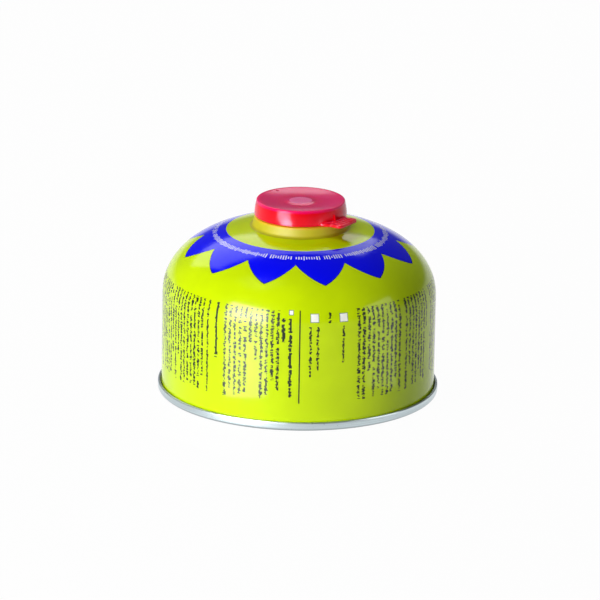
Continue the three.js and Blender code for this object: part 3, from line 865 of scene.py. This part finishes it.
def capMaterial():
    graph = Graph("redPlastic")
    x, y, z, radius = graph.place()[:4]
    spot = graph.vector(x, y, z)
    flow = graph.noise(spot, 0.15, 2.0)
    grain = graph.noise(spot, 3.0, 2.0)
    wave = graph.noise(spot, 0.5, 1.0)
    colour = graph.mix(flow.ease(0.35, 0.65), redPlastic["colour"], redPlastic["shade"])
    # a painted reflection: the cap turns pinker towards its top
    colour = graph.mix(z.ease(capTop - 1.4, capTop - 0.5), colour, redPlastic["crownReflection"])
    # a painted reflection: the disc in the middle of the top is pale pink
    onDisc = (radius < cap["discRadius"] + 0.1) * (z > capTop - 1.5)
    colour = graph.mix(onDisc, colour, redPlastic["disc"])
    roughness = wave * redPlastic["waveRoughness"] + onDisc * redPlastic["discRoughness"]
    graph.set(Base_Color=colour, Roughness=roughness + redPlastic["roughness"], IOR=redPlastic["ior"])
    graph.set(Specular_Tint=redPlastic["specularTint"])
    graph.set(Coat_Weight=redPlastic["coat"], Coat_IOR=1.4, Coat_Roughness=0.12)
    graph.set(Sheen_Weight=redPlastic["sheen"], Sheen_Roughness=0.4, Sheen_Tint=redPlastic["sheenTint"])
    graph.set(Subsurface_Weight=redPlastic["translucency"], Subsurface_Scale=redPlastic["lightDepth"])
    graph.set(Subsurface_Radius=redPlastic["lightColour"])
    graph.bump(wave * 0.6 + grain * 0.05, 0.03, 0.1)
    return graph


finishPiece(capMesh(), capMaterial(), capBody, "red_plastic", "cap")
print("cap made")


# a pale floor that keeps a faint shadow, and a white room
studio = {
    "floorSize": 12.0, "floorTone": paint(205, 205, 205), "floorClear": 0.975, "ambient": 0.14,
    # name, azimuth and elevation in degrees, distance, width and height in m, radiance, seen in reflections
    "softboxes": [
        ("keySoftbox", -126.0, 8.0, 0.9, 0.3, 0.3, 24.5, False),
        ("backSoftbox", 105.0, 41.5, 0.9, 1.0, 0.45, 2.3, True),
        ("topSoftbox", -160.0, 66.0, 0.9, 0.3, 0.3, 7.4, False),
        ("rightFill", 5.0, 3.0, 0.9, 0.2, 0.2, 3.8, False),
    ],
    # name, middle x and y in mm, azimuth it faces, low and high edge and width in mm, radiance, feather
    "cards": [
        ("leftCardNear", -42.3, -72.7, 46.0, 1.0, 46.0, 40.0, 44.0, 0.6),
        ("leftCardHigh", -42.3, -72.7, 46.0, 46.0, 67.0, 38.0, 90.0, 0.6),
        ("leftCardFar", -298.0, -338.0, 46.0, 5.0, 165.0, 270.0, 46.0, 0.2),
        ("rightCardNear", 63.0, -51.6, 164.0, 4.0, 46.0, 30.0, 10.0, 0.6),
        ("rightCardHigh", 63.0, -51.6, 164.0, 46.0, 66.0, 30.0, 16.0, 0.6),
    ],
    "featherSteps": 5,
    "whiteBelow": -1.0, "dimAbove": 7.0, "ceiling": 0.12,    # the room as reflections see it, degrees up
}


def floorMaterial():
    graph = Graph("paleFloor")
    lightPath = graph.tree.nodes.new("ShaderNodeLightPath")
    seen = Wire(graph, lightPath.outputs["Is Camera Ray"]) | Wire(graph, lightPath.outputs["Is Glossy Ray"])
    seen = seen | Wire(graph, lightPath.outputs["Is Transmission Ray"])
    glow = graph.node("ShaderNodeEmission", inputs={"Color": (1.0, 1.0, 1.0, 1.0), "Strength": 1.0})
    graph.set(Base_Color=studio["floorTone"], Roughness=0.9)
    blend = graph.node("ShaderNodeMixShader", inputs={
        0: seen * studio["floorClear"], 1: Wire(graph, graph.shader.outputs[0]), 2: glow})
    back = graph.node("ShaderNodeNewGeometry", output=6)      # from under the floor it can be seen through
    clear = graph.node("ShaderNodeBsdfTransparent")
    blend = graph.node("ShaderNodeMixShader", inputs={0: back, 1: blend, 2: clear})
    graph.feed(graph.tree.nodes["Material Output"].inputs["Surface"], blend)
    return graph


def makeFloor():
    half = studio["floorSize"] / 2
    corners = [(-half, -half, 0.0), (half, -half, 0.0), (half, half, 0.0), (-half, half, 0.0)]
    mesh = bpy.data.meshes.new("floor")
    mesh.from_pydata(corners, [], [(0, 1, 2, 3)])
    floor = bpy.data.objects.new("floor", mesh)
    bpy.context.scene.collection.objects.link(floor)
    mesh.materials.append(floorMaterial().material)


def areaLight(name, place, away, width, height, radiance):
    data = bpy.data.lights.new(name, "AREA")
    data.shape = "RECTANGLE"
    data.size, data.size_y = width, height
    data.energy = radiance * math.pi * width * height
    right = np.cross([0.0, 0.0, 1.0], away)
    right = right / np.linalg.norm(right)
    light = addFacing(name, data, right, np.cross(away, right), away, place)
    light.visible_camera = False
    return light


def makeLights():
    for name, azimuth, elevation, distance, width, height, radiance, reflected in studio["softboxes"]:
        turn, rise = math.radians(azimuth), math.radians(elevation)
        away = np.array([math.cos(turn) * math.cos(rise), math.sin(turn) * math.cos(rise), math.sin(rise)])
        place = away * distance + np.array([0.0, 0.0, cameraView["aimHeight"] * millimetre])
        areaLight(name, place, away, width, height, radiance).visible_glossy = reflected
    steps = studio["featherSteps"]      # each card is nested rectangles with one top edge, so its edges fade
    for name, x, y, azimuth, low, high, width, radiance, feather in studio["cards"]:
        turn = math.radians(azimuth + 180.0)
        away = np.array([math.cos(turn), math.sin(turn), 0.0])
        for step in range(steps):
            cut = 1.0 - feather * step / steps
            foot = high - (high - low) * cut
            place = np.array([x, y, (foot + high) / 2]) * millimetre
            size = (width * cut * millimetre, (high - foot) * millimetre)
            card = areaLight(name + str(step), place, away, *size, radiance / steps)
            card.visible_diffuse = False


# white to the camera; in reflections white low down and dim overhead; a plain low level for the rest
def makeWorld():
    world = bpy.data.worlds.new("studioWorld")
    bpy.context.scene.world = world
    room = Graph(world=world)
    lightPath = room.tree.nodes.new("ShaderNodeLightPath")
    camera = Wire(room, lightPath.outputs["Is Camera Ray"])
    mirrored = Wire(room, lightPath.outputs["Is Glossy Ray"])
    mirrored = mirrored | Wire(room, lightPath.outputs["Is Transmission Ray"])
    direction = room.node("ShaderNodeTexCoord")
    rise = room.node("ShaderNodeSeparateXYZ", inputs={0: direction}, output=2)
    low, high = (math.sin(math.radians(studio[name])) for name in ("whiteBelow", "dimAbove"))
    shade = 1.0 - rise.ease(low, high) * (1.0 - studio["ceiling"])
    seen = mirrored * (shade - studio["ambient"]) + studio["ambient"]
    room.feed(room.shader.inputs["Color"], (1.0, 1.0, 1.0, 1.0))
    room.feed(room.shader.inputs["Strength"], seen + camera * (1.0 - studio["ambient"]))


makeFloor()
makeLights()
makeWorld()
bpy.context.scene.view_settings.view_transform = "Standard"
print("studio made")
